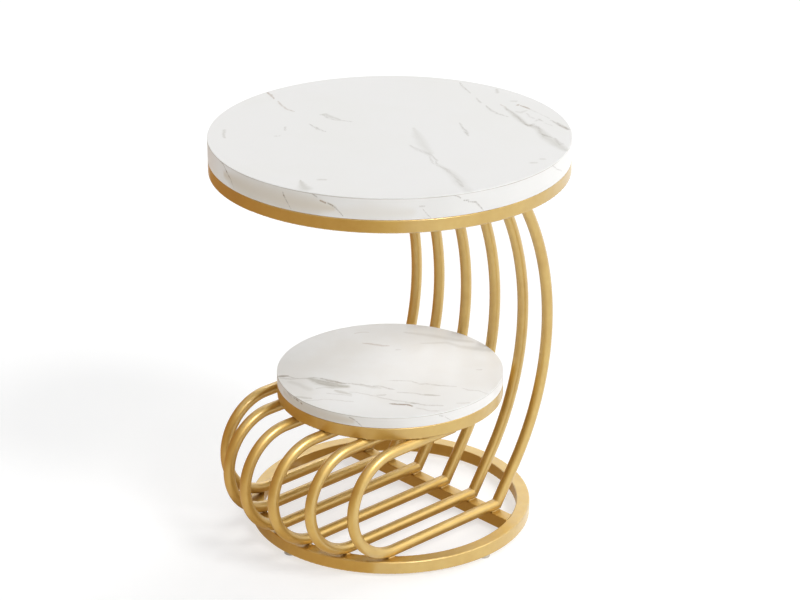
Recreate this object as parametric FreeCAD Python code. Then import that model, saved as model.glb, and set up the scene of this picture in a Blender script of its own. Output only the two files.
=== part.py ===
import FreeCAD, Part
import math
import os

from FreeCAD import Vector

# Round two-tier side table: a marble-effect top and a smaller shelf on a gold tube frame.
#
# Z is the shared axis of both boards and all three rings, and Z = 0 is the floor. Six bent tubes stand side by
# side along X. Each one lies on the base ring, loops round in front (-Y) and comes back under the shelf. At the
# back (+Y) it meets a mitred upright that sweeps up to the crossbar under the top.

# ---- Driving dimensions (mm, degrees) ----
TABLE_H = 580.0  # floor to the top's upper face
SHELF_H = 225.0  # floor to the shelf's upper face
TOP_D = 500.0
SHELF_D = 322.0
BASE_D = 404.0
TOP_BOARD_T = 30.0
SHELF_BOARD_T = 16.0
GLIDE_H = 4.0  # gap that the glides leave under the base ring

STOCK = 19.0  # square tube of the rings and crossbars
STOCK_WALL = 1.2
STOCK_CORNER_R = 1.5
TUBE_D = 16.0  # round tube of the loops and uprights
TUBE_WALL = 1.2

TUBE_COUNT = 6
FAN_STEP = 17.75  # angle between neighbouring tubes where they cross the front of the base ring
LOOP_SETBACK = 18.0  # from the base ring's centre line back to the centre of a loop's bend
UPPER_RUN_END_Y = -8.0
ELBOW_Y = 83.0  # corner of the mitre, on the tube's centre line
UPRIGHT_LEAN = 33.5  # from the vertical, just above the mitre
UPRIGHT_FOOT_L = 64.0  # straight length above the mitre
UPRIGHT_SWEEP_R = 372.0

BASE_CROSSBAR_Y = 77.0
SHELF_CROSSBAR_Y = 0.0

LAMINATE_T = 0.8  # sheet on a board's face, and band round its edge
LAMINATE_EDGE_R = 0.5
SHEET_PLAY = 0.5  # air left above an insert in its blind hole

M6_BORE_R = 3.0
M6_SHANK_R = 2.95
VENT_HOLE_R = 4.0  # drains a ring into its crossbar through the covered wall

LUG_T = 3.0
LUG_W = 20.0
LUG_HOLE_INSET = 12.0  # from the ring's inner wall to the hole
LUG_HOLE_R = 3.3
LUG_ANGLES = (45.0, 135.0, 225.0, 315.0)
BOLT_HEAD_R = 6.5
BOLT_FLANGE_T = 1.0
BOLT_DOME_R = 5.2
BOLT_HEAD_H = 3.3
BOLT_KEY_AF = 4.0
BOLT_KEY_DEPTH = 2.0
BOLT_GRIP = 10.0  # shank length inside the board
INSERT_R = 4.5
INSERT_L = 12.0

GLIDE_D = 18.0
GLIDE_EDGE_R = 1.0
GLIDE_FLOOR_T = 1.2  # plastic under the stud's head
GLIDE_RECESS_R = 6.5
GLIDE_RECESS_DEPTH = 1.0
GLIDE_SITES = (("front", 270.0), ("right", 0.0), ("back", 90.0), ("left", 180.0))
STUD_HEX_AF = 10.0
STUD_TOP_Z = 16.0
STUD_TIP_CHAMFER = 0.6
RIVET_BODY_R = 4.5
RIVET_FLANGE_R = 6.0
RIVET_FLANGE_T = 0.8
RIVET_COLLAR_H = 2.5
RIVET_L = 11.0  # above the underside of the ring

PLUG_HEAD_T = 1.5
PLUG_L = 9.0
PLUG_CORE_R = 6.0
PLUG_RIB_T = 1.2
PLUG_RIB_PITCH = 3.0

# ---- Derived levels and places ----
BASE_TOP_Z = GLIDE_H + STOCK
LOWER_RUN_Z = BASE_TOP_Z + TUBE_D / 2
SHELF_BOARD_Z = SHELF_H - SHELF_BOARD_T
SHELF_RING_Z = SHELF_BOARD_Z - STOCK
UPPER_RUN_Z = SHELF_RING_Z - TUBE_D / 2
LOOP_R = (UPPER_RUN_Z - LOWER_RUN_Z) / 2
TOP_BOARD_Z = TABLE_H - TOP_BOARD_T
TOP_RING_Z = TOP_BOARD_Z - STOCK
BASE_CENTRE_R = (BASE_D - STOCK) / 2

Z_AXIS = Vector(0, 0, 1)


def fan_angle(index):
    """Angle of tube number index from the front of the base ring, in radians, negative towards -X."""
    return math.radians((index - (TUBE_COUNT - 1) / 2) * FAN_STEP)


def tube_x(index):
    """X of the upright plane that tube number index lies in."""
    return BASE_CENTRE_R * math.sin(fan_angle(index))


def loop_centre_y(index):
    """Y of the centre of a loop's bend, which follows the front of the base ring."""
    return LOOP_SETBACK - BASE_CENTRE_R * math.cos(fan_angle(index))


def polar(radius, degrees, z):
    """Point at a radius and angle round the table's axis."""
    angle = math.radians(degrees)
    return Vector(radius * math.cos(angle), radius * math.sin(angle), z)


def turned(profile, centre):
    """Solid of revolution about the upright line through centre, from (radius, height) points."""
    points = [centre + Vector(radius, 0, height) for radius, height in profile]
    face = Part.Face(Part.makePolygon(points + points[:1]))
    return face.revolve(centre, Z_AXIS, 360)


def hexagon_prism(across_flats, height, base):
    """Upright hexagonal prism standing on base."""
    corner_r = across_flats / math.sqrt(3)
    corners = [base + polar(corner_r, 60 * side, 0) for side in range(6)]
    return Part.Face(Part.makePolygon(corners + corners[:1])).extrude(Vector(0, 0, height))


def beyond(point, direction):
    """Block with a flat face through point that clears away a tube's end beyond it."""
    return Part.makeCylinder(2 * TUBE_D, 2 * TUBE_D, point, direction)


# ---- Square tube: rings and crossbars ----
def rounded_square(half, corner_r):
    """Square wire in the XZ plane, centred on the origin."""
    straight = half - corner_r
    reach = straight + corner_r * math.sqrt(0.5)
    edges = []
    for turn in range(4):
        side = Part.LineSegment(Vector(half, 0, -straight), Vector(half, 0, straight)).toShape()
        corner = Part.Arc(
            Vector(half, 0, straight),
            Vector(reach, 0, reach),
            Vector(straight, 0, half),
        ).toShape()
        for edge in (side, corner):
            edge.rotate(Vector(0, 0, 0), Vector(0, 1, 0), -90 * turn)
            edges.append(edge)
    return Part.Wire(edges)


def stock_section():
    """Hollow section of the square tube in the XZ plane, centred on the origin."""
    bore = STOCK / 2 - STOCK_WALL
    signs = ((-1, -1), (1, -1), (1, 1), (-1, 1))
    corners = [Vector(bore * sign_x, 0, bore * sign_z) for sign_x, sign_z in signs]
    inner = Part.Face(Part.makePolygon(corners + corners[:1]))
    outer = Part.Face(rounded_square(STOCK / 2, STOCK_CORNER_R))
    return outer.cut(inner).Faces[0]


def ring(outer_r, underside_z, crossbar_y):
    """Square tube rolled into a ring, with a vent hole where each end of its crossbar covers the wall."""
    section = stock_section()
    section.translate(Vector(outer_r - STOCK / 2, 0, underside_z + STOCK / 2))
    hoop = section.revolve(Vector(0, 0, 0), Z_AXIS, 360)
    inner_r = outer_r - STOCK
    reach = math.sqrt(inner_r**2 - crossbar_y**2) + STOCK / 2
    drill = Part.makeCylinder(
        VENT_HOLE_R,
        2 * reach,
        Vector(-reach, crossbar_y, underside_z + STOCK / 2),
        Vector(1, 0, 0),
    )
    return hoop.cut(drill)


def crossbar(ring_outer_r, underside_z, centre_y):
    """Square tube along X, with its ends coped to the ring's inner wall."""
    section = stock_section()
    section.rotate(Vector(0, 0, 0), Z_AXIS, 90)
    section.translate(Vector(-ring_outer_r, centre_y, underside_z + STOCK / 2))
    bar = section.extrude(Vector(2 * ring_outer_r, 0, 0))
    inside = Part.makeCylinder(ring_outer_r - STOCK, STOCK, Vector(0, 0, underside_z))
    return bar.common(inside)


# ---- Round tube: loops and uprights ----
def tube_along(path, end_cuts):
    """Round tube swept along a wire and trimmed by each (point, direction) in end_cuts."""
    start = path.Edges[0]
    outset = start.firstVertex().Point
    heading = start.tangentAt(start.FirstParameter)
    bars = []
    for radius in (TUBE_D / 2, TUBE_D / 2 - TUBE_WALL):
        disc = Part.Face(Part.Wire(Part.Circle(outset, heading, radius).toShape()))
        bars.append(path.makePipe(disc))
    tube = bars[0].cut(bars[1])
    for point, direction in end_cuts:
        tube = tube.cut(beyond(point, direction))
    return tube.Solids[0]


def lean_direction():
    """Direction of an upright just above its mitre."""
    lean = math.radians(UPRIGHT_LEAN)
    return Vector(0, math.sin(lean), math.cos(lean))


def mitre(index):
    """Corner of the mitre, and the normal of its cut, which halves the turn and points up the upright."""
    corner = Vector(tube_x(index), ELBOW_Y, LOWER_RUN_Z)
    normal = (Vector(0, 1, 0) + lean_direction()).normalize()
    return corner, normal


def loop_tube(index):
    """Lower run on the base ring, half-circle in front, and upper run back under the shelf ring."""
    x = tube_x(index)
    bend_y = loop_centre_y(index)
    mid_z = LOWER_RUN_Z + LOOP_R
    lower_start = Vector(x, ELBOW_Y + TUBE_D, LOWER_RUN_Z)
    lower_end = Vector(x, bend_y, LOWER_RUN_Z)
    front = Vector(x, bend_y - LOOP_R, mid_z)
    upper_start = Vector(x, bend_y, UPPER_RUN_Z)
    upper_end = Vector(x, UPPER_RUN_END_Y, UPPER_RUN_Z)
    path = Part.Wire(
        [
            Part.LineSegment(lower_start, lower_end).toShape(),
            Part.Arc(lower_end, front, upper_start).toShape(),
            Part.LineSegment(upper_start, upper_end).toShape(),
        ]
    )
    return tube_along(path, [mitre(index)])


def upright_tube(index):
    """Short leaning foot above the mitre, then one long sweep to a level end under the top crossbar."""
    corner, normal = mitre(index)
    lean = lean_direction()
    foot_start = corner - lean * TUBE_D
    foot_end = corner + lean * UPRIGHT_FOOT_L
    centre = foot_end + Vector(0, -lean.z, lean.y) * UPRIGHT_SWEEP_R
    first = math.radians(-UPRIGHT_LEAN)
    last = math.asin((TOP_RING_Z + TUBE_D - centre.z) / UPRIGHT_SWEEP_R)
    middle, end = [
        centre + Vector(0, math.cos(angle), math.sin(angle)) * UPRIGHT_SWEEP_R
        for angle in ((first + last) / 2, last)
    ]
    path = Part.Wire(
        [
            Part.LineSegment(foot_start, foot_end).toShape(),
            Part.Arc(foot_end, middle, end).toShape(),
        ]
    )
    level_end = Vector(end.x, end.y, TOP_RING_Z)
    return tube_along(path, [(corner, -normal), (level_end, Z_AXIS)])


def upright_top_y():
    """Y of the uprights' centre lines where they meet the top crossbar."""
    lean = lean_direction()
    centre_y = ELBOW_Y + lean.y * UPRIGHT_FOOT_L - lean.z * UPRIGHT_SWEEP_R
    centre_z = LOWER_RUN_Z + lean.z * UPRIGHT_FOOT_L + lean.y * UPRIGHT_SWEEP_R
    return centre_y + math.sqrt(UPRIGHT_SWEEP_R**2 - (TOP_RING_Z - centre_z) ** 2)


def loop_end_plugs():
    """Ribbed plastic plugs that close the upper runs under the shelf."""
    bore_r = TUBE_D / 2 - TUBE_WALL
    plugs = []
    for index in range(TUBE_COUNT):
        mouth = Vector(tube_x(index), UPPER_RUN_END_Y, UPPER_RUN_Z)
        head = Part.makeCylinder(TUBE_D / 2, PLUG_HEAD_T, mouth, Vector(0, 1, 0))
        core = Part.makeCylinder(PLUG_CORE_R, PLUG_L, mouth, Vector(0, -1, 0))
        ribs = [
            Part.makeCylinder(bore_r, PLUG_RIB_T, mouth - Vector(0, depth, 0), Vector(0, -1, 0))
            for depth in (PLUG_RIB_PITCH, 2 * PLUG_RIB_PITCH)
        ]
        plugs.append(head.fuse([core] + ribs).removeSplitter())
    return Part.makeCompound(plugs)


# ---- Boards and their fixings ----
def fixing_points(ring_outer_r, z):
    """Centres of the fixings inside a ring."""
    radius = ring_outer_r - STOCK - LUG_HOLE_INSET
    return [polar(radius, degrees, z) for degrees in LUG_ANGLES]


def lugs(ring_outer_r, top_z):
    """Drilled tabs welded inside a ring, flush with its upper face."""
    inner_r = ring_outer_r - STOCK
    inside = Part.makeCylinder(inner_r, LUG_T, Vector(0, 0, top_z - LUG_T))
    tabs = []
    for degrees, hole in zip(LUG_ANGLES, fixing_points(ring_outer_r, top_z - LUG_T)):
        root = Part.makeBox(STOCK, LUG_W, LUG_T, Vector(inner_r - LUG_HOLE_INSET, -LUG_W / 2, hole.z))
        root.rotate(Vector(0, 0, 0), Z_AXIS, degrees)
        nose = Part.makeCylinder(LUG_W / 2, LUG_T, hole)
        bore = Part.makeCylinder(LUG_HOLE_R, LUG_T, hole)
        tabs.append(root.fuse(nose).common(inside).cut(bore).removeSplitter())
    return Part.makeCompound(tabs)


def bolts(ring_outer_r, board_z):
    """Flanged button-head bolts that hold a board down on its lugs."""
    seat_z = board_z - LUG_T
    screws = []
    for seat in fixing_points(ring_outer_r, seat_z):
        dome_step = (BOLT_HEAD_H - BOLT_FLANGE_T) / 2
        head = turned(
            [
                (0, 0),
                (BOLT_HEAD_R, 0),
                (BOLT_HEAD_R, -BOLT_FLANGE_T),
                (BOLT_DOME_R, -BOLT_FLANGE_T),
                (0.85 * BOLT_DOME_R, -BOLT_FLANGE_T - dome_step),
                (0.5 * BOLT_DOME_R, -BOLT_HEAD_H),
                (0, -BOLT_HEAD_H),
            ],
            seat,
        )
        key = hexagon_prism(BOLT_KEY_AF, BOLT_KEY_DEPTH, seat - Vector(0, 0, BOLT_HEAD_H))
        shank = Part.makeCylinder(M6_SHANK_R, LUG_T + BOLT_GRIP, seat)
        screws.append(head.fuse(shank).cut(key).Solids[0])
    return Part.makeCompound(screws)


def inserts(ring_outer_r, board_z):
    """Threaded brass sleeves set into the underside of a board."""
    sleeves = []
    for mouth in fixing_points(ring_outer_r, board_z):
        sleeve = Part.makeCylinder(INSERT_R, INSERT_L, mouth)
        sleeves.append(sleeve.cut(Part.makeCylinder(M6_BORE_R, INSERT_L, mouth)))
    return Part.makeCompound(sleeves)


def board_core(board_d, board_z, board_t, ring_outer_r):
    """Fibreboard disc, drilled from below for the inserts."""
    core = Part.makeCylinder(board_d / 2 - LAMINATE_T, board_t - LAMINATE_T, Vector(0, 0, board_z))
    for mouth in fixing_points(ring_outer_r, board_z):
        core = core.cut(Part.makeCylinder(INSERT_R, INSERT_L + SHEET_PLAY, mouth))
    return core


def board_laminate(board_d, top_z):
    """Sheet on a board's upper face, with its rim eased."""
    sheet = Part.makeCylinder(board_d / 2, LAMINATE_T, Vector(0, 0, top_z - LAMINATE_T))
    rim = [
        edge
        for edge in sheet.Edges
        if edge.Closed and abs(edge.BoundBox.ZMin - top_z) < LAMINATE_T / 2
    ]
    return sheet.makeFillet(LAMINATE_EDGE_R, rim)


def board_edge_band(board_d, board_z, board_t):
    """Band round a board's edge, under the overhang of its sheet."""
    foot = Vector(0, 0, board_z)
    outer = Part.makeCylinder(board_d / 2, board_t - LAMINATE_T, foot)
    return outer.cut(Part.makeCylinder(board_d / 2 - LAMINATE_T, board_t - LAMINATE_T, foot))


# ---- Levelling glides ----
def base_ring():
    """Base ring, drilled through its lower wall for the four rivet nuts."""
    hoop = ring(BASE_D / 2, GLIDE_H, BASE_CROSSBAR_Y)
    for _, degrees in GLIDE_SITES:
        start = polar(BASE_CENTRE_R, degrees, GLIDE_H - STOCK_WALL)
        hoop = hoop.cut(Part.makeCylinder(RIVET_BODY_R, 3 * STOCK_WALL, start))
    return hoop


def foot_rivet_nuts():
    """M6 rivet nuts, set in the lower wall of the base ring."""
    wall_top = STOCK_WALL
    profile = [
        (M6_BORE_R, -RIVET_FLANGE_T),
        (RIVET_FLANGE_R, -RIVET_FLANGE_T),
        (RIVET_FLANGE_R, 0),
        (RIVET_BODY_R, 0),
        (RIVET_BODY_R, wall_top),
        (RIVET_FLANGE_R, wall_top),
        (RIVET_BODY_R, wall_top + RIVET_COLLAR_H),
        (RIVET_BODY_R, RIVET_L),
        (M6_BORE_R, RIVET_L),
    ]
    sites = [polar(BASE_CENTRE_R, degrees, GLIDE_H) for _, degrees in GLIDE_SITES]
    return Part.makeCompound([turned(profile, site) for site in sites])


def glide_pad(degrees):
    """Plastic foot, hollowed above for the stud's head and the rivet nut's flange."""
    site = polar(BASE_CENTRE_R, degrees, 0)
    recess_z = GLIDE_H - GLIDE_RECESS_DEPTH
    disc = Part.makeCylinder(GLIDE_D / 2, GLIDE_H, site)
    sole_rim = [edge for edge in disc.Edges if edge.Closed and edge.BoundBox.ZMax < GLIDE_H / 2]
    disc = disc.makeFillet(GLIDE_EDGE_R, sole_rim)
    recess = Part.makeCylinder(GLIDE_RECESS_R, GLIDE_RECESS_DEPTH, site + Vector(0, 0, recess_z))
    pocket = hexagon_prism(STUD_HEX_AF, recess_z - GLIDE_FLOOR_T, site + Vector(0, 0, GLIDE_FLOOR_T))
    return disc.cut([recess, pocket])


def glide_stud(degrees):
    """M6 stud whose hexagon head is moulded into the pad."""
    site = polar(BASE_CENTRE_R, degrees, 0)
    head_top = GLIDE_H - GLIDE_RECESS_DEPTH
    head = hexagon_prism(STUD_HEX_AF, head_top - GLIDE_FLOOR_T, site + Vector(0, 0, GLIDE_FLOOR_T))
    shank = turned(
        [
            (0, head_top),
            (M6_SHANK_R, head_top),
            (M6_SHANK_R, STUD_TOP_Z - STUD_TIP_CHAMFER),
            (M6_SHANK_R - STUD_TIP_CHAMFER, STUD_TOP_Z),
            (0, STUD_TOP_Z),
        ],
        site,
    )
    return head.fuse(shank).removeSplitter()


# ---- Assembly ----
def board_assembly(tier, board_d, board_z, board_t, ring_z, crossbar_y):
    """Nodes of one tier: its board, ring, crossbar and fixings."""
    ring_outer_r = board_d / 2
    return {
        f"{tier}_ring": ring(ring_outer_r, ring_z, crossbar_y),
        f"{tier}_crossbar": crossbar(ring_outer_r, ring_z, crossbar_y),
        f"{tier}_lugs": lugs(ring_outer_r, board_z),
        f"{tier}_bolts": bolts(ring_outer_r, board_z),
        f"{tier}_inserts": inserts(ring_outer_r, board_z),
        f"{tier}_core": board_core(board_d, board_z, board_t, ring_outer_r),
        f"{tier}_edge_band": board_edge_band(board_d, board_z, board_t),
        f"{tier}_laminate": board_laminate(board_d, board_z + board_t),
    }


def all_nodes():
    """Every sub-part of the table, by node name."""
    nodes = {
        "base_ring": base_ring(),
        "base_crossbar": crossbar(BASE_D / 2, GLIDE_H, BASE_CROSSBAR_Y),
        "foot_rivet_nuts": foot_rivet_nuts(),
        "loop_end_plugs": loop_end_plugs(),
    }
    for side, degrees in GLIDE_SITES:
        nodes[f"glide_pad_{side}"] = glide_pad(degrees)
        nodes[f"glide_stud_{side}"] = glide_stud(degrees)
    for index in range(TUBE_COUNT):
        nodes[f"loop_tube_{index + 1}"] = loop_tube(index)
        nodes[f"upright_tube_{index + 1}"] = upright_tube(index)
    nodes.update(
        board_assembly("shelf", SHELF_D, SHELF_BOARD_Z, SHELF_BOARD_T, SHELF_RING_Z, SHELF_CROSSBAR_Y)
    )
    nodes.update(
        board_assembly("top", TOP_D, TOP_BOARD_Z, TOP_BOARD_T, TOP_RING_Z, upright_top_y())
    )
    return nodes


os.makedirs("parts", exist_ok=True)
for name, shape in all_nodes().items():
    if not shape.isValid():
        raise ValueError(f"{name} is not a valid shape")
    shape.exportStep(f"parts/{name}.step")
    print(f"{name}: {len(shape.Solids)} solids, {shape.Volume:.0f} mm3")
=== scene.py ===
import logging
import math
from dataclasses import dataclass
from enum import Enum
from functools import cache
from typing import Iterable, Iterator, Sequence

import bmesh
import bpy
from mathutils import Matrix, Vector


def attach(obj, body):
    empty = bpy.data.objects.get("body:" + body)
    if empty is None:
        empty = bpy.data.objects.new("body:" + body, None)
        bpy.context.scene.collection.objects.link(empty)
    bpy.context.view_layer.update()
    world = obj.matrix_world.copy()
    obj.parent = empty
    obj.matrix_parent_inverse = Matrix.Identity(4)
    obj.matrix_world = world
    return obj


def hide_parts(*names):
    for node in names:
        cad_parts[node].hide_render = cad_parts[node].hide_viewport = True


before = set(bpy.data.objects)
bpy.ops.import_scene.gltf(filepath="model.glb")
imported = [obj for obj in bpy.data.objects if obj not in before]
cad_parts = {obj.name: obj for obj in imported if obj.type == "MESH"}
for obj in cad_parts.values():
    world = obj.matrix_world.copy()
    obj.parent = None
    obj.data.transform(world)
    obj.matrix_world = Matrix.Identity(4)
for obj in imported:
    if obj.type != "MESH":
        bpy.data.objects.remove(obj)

LOG = logging.getLogger("side_table")
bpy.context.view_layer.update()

MM = 0.001
UP = Vector((0.0, 0.0, 1.0))
TABLE = "table"

Colour = tuple[float, float, float, float]
Point = tuple[float, float, float]
Socket = bpy.types.NodeSocket
Shape = bmesh.types.BMesh
Loop = list[bmesh.types.BMVert]


def tint(red: int, green: int, blue: int) -> Colour:
    """Turn a screen colour, from 0 to 255, into the linear colour that shaders read."""
    shares = [level / 255.0 for level in (red, green, blue)]
    return (*(s / 12.92 if s <= 0.04045 else ((s + 0.055) / 1.055) ** 2.4 for s in shares), 1.0)


def grey(level: float) -> Colour:
    """Give a linear grey."""
    return (level, level, level, 1.0)


def heading(azimuth: float, elevation: float = 0.0) -> Vector:
    """Give the unit vector towards an azimuth and an elevation, both in degrees."""
    turn, rise = math.radians(azimuth), math.radians(elevation)
    return Vector((
        math.cos(turn) * math.cos(rise), math.sin(turn) * math.cos(rise), math.sin(rise)
    ))


def evenly(count: int) -> Iterator[float]:
    """Give evenly spaced numbers from -1 to 1."""
    return (2.0 * step / (count - 1) - 1.0 for step in range(count))


# ---- Shader wiring ----
class Wiring:
    """Adds nodes to one node tree and links them up."""

    def __init__(self, owner: bpy.types.ID) -> None:
        """Work on a node group, or on the emptied tree of a material or world.

        Args:
            owner: the node group, material or world.
        """
        self.tree = owner
        if not isinstance(owner, bpy.types.NodeTree):
            owner.use_nodes = True
            self.tree = owner.node_tree
            self.tree.nodes.clear()

    def node(self, kind: str, feeds: dict | None = None, **settings: object) -> bpy.types.Node:
        """Add a node, set its properties and feed its inputs.

        Args:
            kind: the node's type name, without Shader and Node in front.
            feeds: a value or an output socket for each input, by its name or number.
            **settings: the node's own properties.

        Returns:
            The new node.
        """
        made = self.tree.nodes.new(kind if kind.startswith("Node") else f"ShaderNode{kind}")
        for name, value in settings.items():
            setattr(made, name, value)
        self.feed(made, feeds or {})
        return made

    def feed(self, node: bpy.types.Node, feeds: dict) -> None:
        """Link output sockets to a node's inputs, or set the inputs' own values.

        Args:
            node: the node.
            feeds: a value or an output socket for each input, by its name or number.
        """
        for key, value in feeds.items():
            if isinstance(value, bpy.types.NodeSocket):
                self.tree.links.new(value, node.inputs[key])
            else:
                node.inputs[key].default_value = value

    def math(self, operation: str, *values: object, clamp: bool = False) -> Socket:
        """Add a Math node, fed in order, and give its result."""
        feeds = dict(enumerate(values))
        return self.node("Math", feeds, operation=operation, use_clamp=clamp).outputs[0]

    def vector(self, operation: str, *values: object, output: str = "Vector") -> Socket:
        """Add a Vector Math node, fed in order, and give its Vector or Value output."""
        feeds = dict(enumerate(values))
        return self.node("VectorMath", feeds, operation=operation).outputs[output]

    def scaled(self, vector: Socket, scale: object) -> Socket:
        """Multiply a vector by one number."""
        feeds = {"Vector": vector, "Scale": scale}
        return self.node("VectorMath", feeds, operation="SCALE").outputs["Vector"]

    def dot(self, first: object, second: object) -> Socket:
        """Give the dot product of two vectors."""
        return self.vector("DOT_PRODUCT", first, second, output="Value")

    def blend(self, share: object, first: object, second: object) -> Socket:
        """Mix two colours by the share of the second."""
        return self.node("Mix", {0: share, 6: first, 7: second}, data_type="RGBA").outputs[2]

    def ease(self, value: object, low: object, high: object, start: object = 0.0,
             end: object = 1.0) -> Socket:
        """Map a value smoothly from low and high to start and end."""
        feeds = {"Value": value, "From Min": low, "From Max": high, "To Min": start, "To Max": end}
        return self.node(
            "MapRange", feeds, interpolation_type="SMOOTHSTEP", clamp=False
        ).outputs["Result"]

    def noise(self, place: object, scale: object, detail: float = 3.0,
              roughness: float = 0.55, output: str = "Fac") -> Socket:
        """Read a noise at a place, by its waves per metre, and give its Fac or Color."""
        feeds = {"Vector": place, "Scale": scale, "Detail": detail, "Roughness": roughness}
        return self.node("TexNoise", feeds).outputs[output]

    def place(self) -> Socket:
        """Give the object's own coordinates, in metres."""
        return self.node("TexCoord").outputs["Object"]

    def normal(self) -> Socket:
        """Give the surface's normal."""
        return self.node("NewGeometry").outputs["Normal"]

    def shared(self, share: object, first: bpy.types.Node, second: bpy.types.Node
               ) -> bpy.types.Node:
        """Mix two shaders by the share of the second."""
        return self.node("MixShader", {0: share, 1: first.outputs[0], 2: second.outputs[0]})


class Effect(Enum):
    """Effects that several finishes share: the group's name, its output and its inputs.

    An input without a value takes a vector.
    """

    # Edge mask: wear on every finish, and a painted highlight along the gold's edges.
    EDGE_WEAR = ("edge_wear", "Mask", {"Reach": 1.2 * MM, "Breaks": 90.0})
    MOTTLE = ("mottle", "Drift", {"Scale": 30.0, "Spread": 1.0})
    GRAIN = ("fine_grain", "Height", {"Scale": 1500.0, "Coarse Share": 0.4})
    DUST = ("settled_dust", "Mask", {"Amount": 0.1, "Scale": 140.0})
    VEIN = ("marble_vein", "Mask", {
        "Point": None, "Start": None, "End": None, "Start Width": 2.0, "End Width": 2.0,
        "Depth": 1.0, "So Far": 0.0,
    })
    STREAKS = ("marble_streaks", "Value", {"Point": None, "Angle": 0.0, "Scale": 400.0})
    CLOUDING = ("marble_clouding", "Mask", {"Scale": 9.0})


class EffectGroup(Wiring):
    """The node group of one shared effect."""

    def __init__(self, effect: Effect) -> None:
        """Make the group with its sockets, and wire the effect in it.

        Args:
            effect: the effect.
        """
        name, output, inputs = effect.value
        super().__init__(bpy.data.node_groups.new(name, "ShaderNodeTree"))
        sockets = self.tree.interface
        for label, value in inputs.items():
            kind = "NodeSocketVector" if value is None else "NodeSocketFloat"
            socket = sockets.new_socket(name=label, in_out="INPUT", socket_type=kind)
            if value is not None:
                socket.default_value = value
        sockets.new_socket(name=output, in_out="OUTPUT", socket_type="NodeSocketFloat")
        self.given = self.node("NodeGroupInput").outputs
        self.node("NodeGroupOutput", {output: getattr(self, effect.name.lower())()})

    def edge_wear(self) -> Socket:
        """Wire a mask that is bright along edges: wear where a coat rubs thin, and on the gold a
        painted edge highlight.

        Returns:
            The mask.
        """
        rounded = self.node("Bevel", {"Radius": self.given["Reach"]}, samples=4)
        agreement = self.dot(rounded.outputs["Normal"], self.normal())
        edge = self.ease(self.math("SUBTRACT", 1.0, agreement), 0.004, 0.07)
        breaks = self.noise(self.place(), self.given["Breaks"], detail=4.0)
        return self.math("MULTIPLY", edge, self.ease(breaks, 0.35, 0.62))

    def mottle(self) -> Socket:
        """Wire a slow drift of tone, centred on 0."""
        cloud = self.noise(self.place(), self.given["Scale"], roughness=0.6)
        return self.math("MULTIPLY", self.math("SUBTRACT", cloud, 0.5), self.given["Spread"])

    def grain(self) -> Socket:
        """Wire the height of a fine even grain.

        Returns:
            The height.
        """
        here = self.place()
        fine = self.noise(here, self.given["Scale"], detail=2.0)
        coarse_scale = self.math("MULTIPLY", self.given["Scale"], 0.17)
        coarse = self.noise(here, coarse_scale, detail=2.0)
        return self.math("MULTIPLY_ADD", coarse, self.given["Coarse Share"], fine)

    def dust(self) -> Socket:
        """Wire a mask of the dust that settles on upward faces.

        Returns:
            The mask.
        """
        upward = self.ease(self.dot(self.normal(), tuple(UP)), 0.55, 0.98)
        patches = self.noise(self.place(), self.given["Scale"], detail=5.0)
        amount = self.math("MULTIPLY", self.ease(patches, 0.4, 0.7), self.given["Amount"])
        return self.math("MULTIPLY", upward, amount)

    def vein(self) -> Socket:
        """Wire one straight run of a vein that swells or thins from end to end.

        Returns:
            The mask of this run and of those before it.
        """
        given = self.given
        run = self.vector("SUBTRACT", given["End"], given["Start"])
        reach = self.vector("SUBTRACT", given["Point"], given["Start"])
        share = self.math("DIVIDE", self.dot(reach, run), self.dot(run, run))
        along = self.math("MINIMUM", self.math("MAXIMUM", share, 0.0), 1.0)
        off = self.vector("DISTANCE", reach, self.scaled(run, along), output="Value")
        growth = self.math("SUBTRACT", given["End Width"], given["Start Width"])
        width = self.math("MULTIPLY_ADD", growth, along, given["Start Width"])
        mask = self.ease(off, 0.0, width, given["Depth"], 0.0)
        return self.math("MAXIMUM", mask, given["So Far"])

    def streaks(self) -> Socket:
        """Wire the fine streaks that break up a vein, drawn out along one direction.

        Returns:
            The streaks.
        """
        feeds = {"Vector": self.given["Point"], "Angle": self.given["Angle"]}
        turned = self.node("VectorRotate", feeds, rotation_type="Z_AXIS").outputs["Vector"]
        drawn = self.vector("MULTIPLY", turned, (0.16, 1.0, 1.0))
        return self.noise(drawn, self.given["Scale"], detail=5.0, roughness=0.68)

    def clouding(self) -> Socket:
        """Wire the faint clouds in the ground of the marble pattern."""
        cloud = self.noise(self.place(), self.given["Scale"], detail=4.0, roughness=0.5)
        return self.ease(cloud, 0.38, 0.68)


@cache
def effect_group(effect: Effect) -> bpy.types.NodeTree:
    """Give an effect's node group, built on first use."""
    return EffectGroup(effect).tree


class Bench(Wiring):
    """The wiring of a finish's material, round its Principled shader."""

    def __init__(self, material: bpy.types.Material) -> None:
        """Empty the material and put the shader in.

        Args:
            material: the material.
        """
        super().__init__(material)
        self.shader = self.node("BsdfPrincipled")
        self.node("OutputMaterial", {"Surface": self.shader.outputs["BSDF"]})

    def effect(self, effect: Effect, feeds: dict) -> Socket:
        """Place a shared effect with its own values, and give its output."""
        return self.node("Group", feeds, node_tree=effect_group(effect)).outputs[0]

    def drift(self, middle: object, scale: float, spread: float) -> Socket:
        """Let a value drift over the surface, between 0 and 1."""
        drift = self.effect(Effect.MOTTLE, {"Scale": scale, "Spread": spread})
        return self.math("ADD", middle, drift, clamp=True)

    def bump(self, height: Socket, strength: float, distance: float) -> Socket:
        """Turn a height, in shares of a distance, into a bumped normal."""
        feeds = {"Height": height, "Strength": strength, "Distance": distance}
        return self.node("Bump", feeds).outputs["Normal"]

    def grain(self, scale: float, coarse: float, strength: float, distance: float) -> Socket:
        """Bump the surface with a fine grain."""
        height = self.effect(Effect.GRAIN, {"Scale": scale, "Coarse Share": coarse})
        return self.bump(height, strength, distance)


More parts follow.
